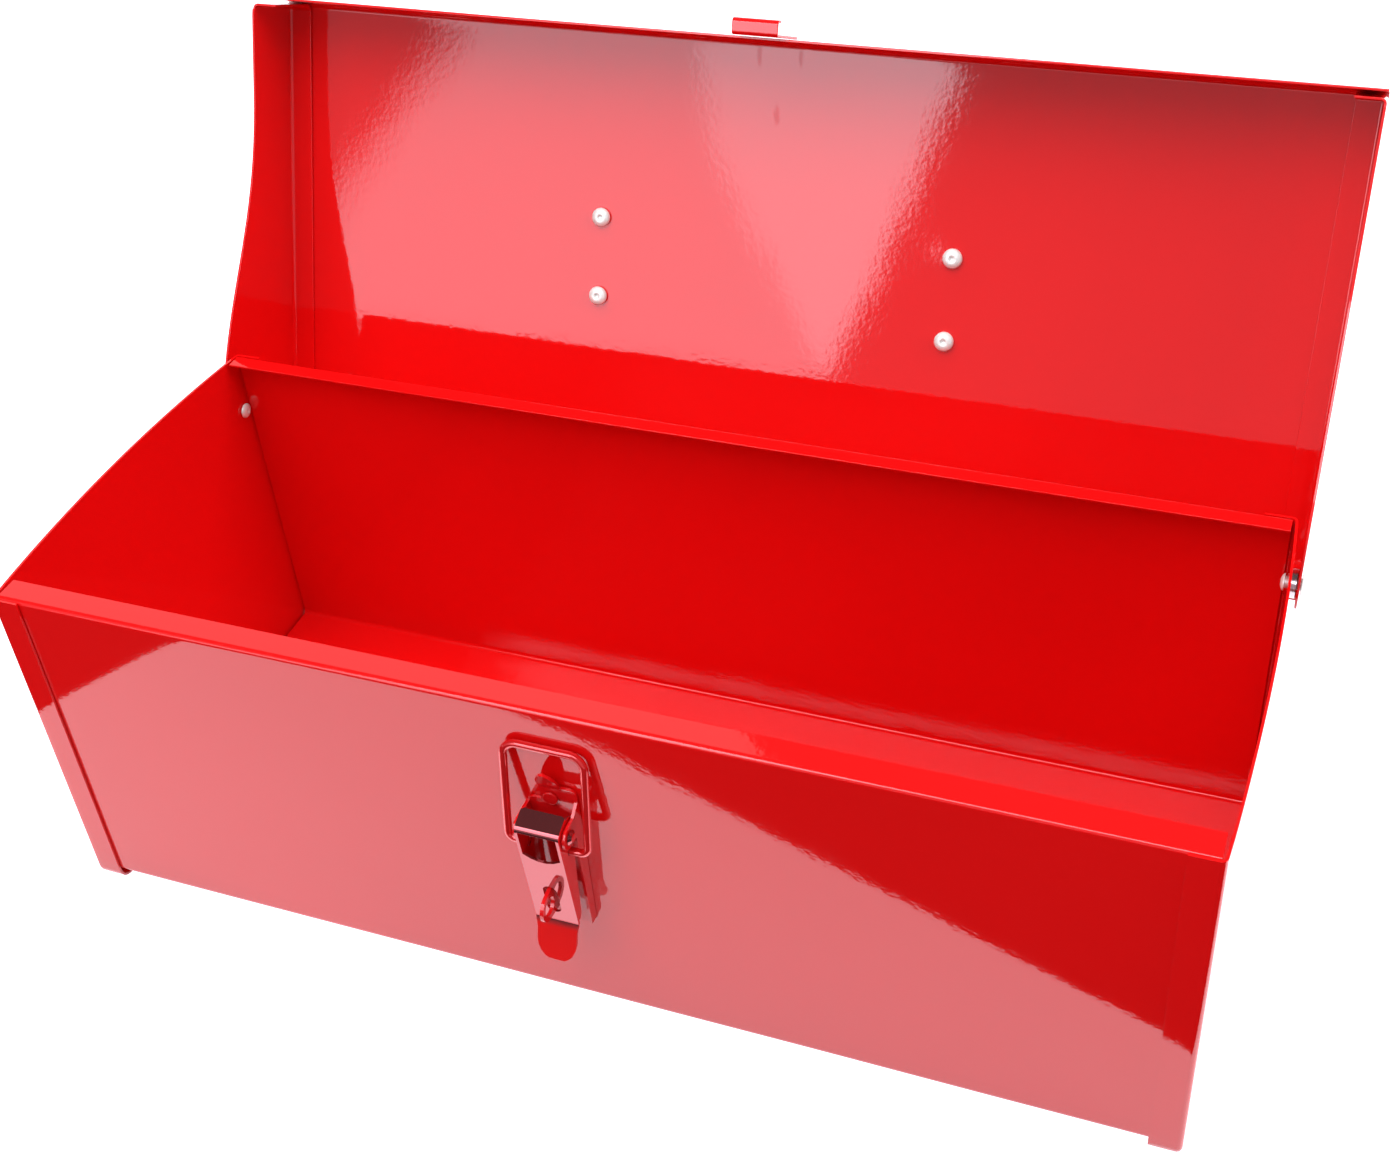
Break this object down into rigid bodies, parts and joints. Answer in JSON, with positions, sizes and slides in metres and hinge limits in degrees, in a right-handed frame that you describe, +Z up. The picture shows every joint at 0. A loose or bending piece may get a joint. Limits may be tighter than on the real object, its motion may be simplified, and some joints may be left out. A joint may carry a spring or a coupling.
{
  "type": "toolbox",
  "caption": "Folded-steel hand toolbox with a hinged lid, pressed end caps, a draw latch with a padlock staple and a fold-down carrying handle.",
  "frame": {"origin": "middle of the base of the bounding box, with the box standing on its feet and its lid open", "axes": "+X along the box to the right as seen from the latch, +Y to the rear, where the lid is hinged, +Z up"},
  "size_m": [0.4982, 0.3214, 0.3165],
  "materials": {
    "red_enamel": "gloss",
    "latch_enamel": "gloss",
    "rivet_aluminium": "satin",
    "plated_steel": "satin",
    "black_grip": "matte"
  },
  "bodies": {
    "body": {"body_wrapper": "red_enamel", "body_end_left": "red_enamel", "body_end_right": "red_enamel", "hinge_rivet_left": "rivet_aluminium", "hinge_rivet_right": "rivet_aluminium", "hinge_washer_left": "plated_steel", "hinge_washer_right": "plated_steel", "latch_base": "latch_enamel", "latch_rivet_lower": "latch_enamel", "latch_rivet_upper": "latch_enamel", "latch_pin": "latch_enamel"},
    "lid": {"lid_sheet": "red_enamel", "lid_end_left": "red_enamel", "lid_end_right": "red_enamel", "lid_strike": "latch_enamel", "handle_bracket_left": "plated_steel", "handle_bracket_right": "plated_steel", "handle_rivet_left_front": "rivet_aluminium", "handle_rivet_left_rear": "rivet_aluminium", "handle_rivet_right_front": "rivet_aluminium", "handle_rivet_right_rear": "rivet_aluminium"},
    "latch_lever": {"latch_lever": "latch_enamel"},
    "latch_bail": {"latch_bail": "latch_enamel"},
    "handle": {"handle_rod": "plated_steel", "handle_grip": "black_grip"}
  },
  "joints": [
    {"name": "lid_hinge", "type": "hinge", "parent": "body", "child": "lid", "pos_m": [0, 0.04374, 0.136], "axis": [1, 0, 0], "range_deg": [0, 111]},
    {"name": "latch_lever_pivot", "type": "hinge", "parent": "body", "child": "latch_lever", "pos_m": [0, -0.14797, 0.114], "axis": [-1, 0, 0], "range_deg": [0, 150]},
    {"name": "latch_bail_swing", "type": "hinge", "parent": "latch_lever", "child": "latch_bail", "pos_m": [0, -0.14677, 0.105], "axis": [-1, 0, 0], "range_deg": [-173, 0]},
    {"name": "handle_fold", "type": "hinge", "parent": "lid", "child": "handle", "pos_m": [0, 0.12872, 0.19443], "axis": [1, 0, 0], "range_deg": [-13.2, 151.2]}
  ],
  "couplings": [
    {"joint": "latch_bail_swing", "follows": "latch_lever_pivot", "ratio": -1.15}
  ]
}
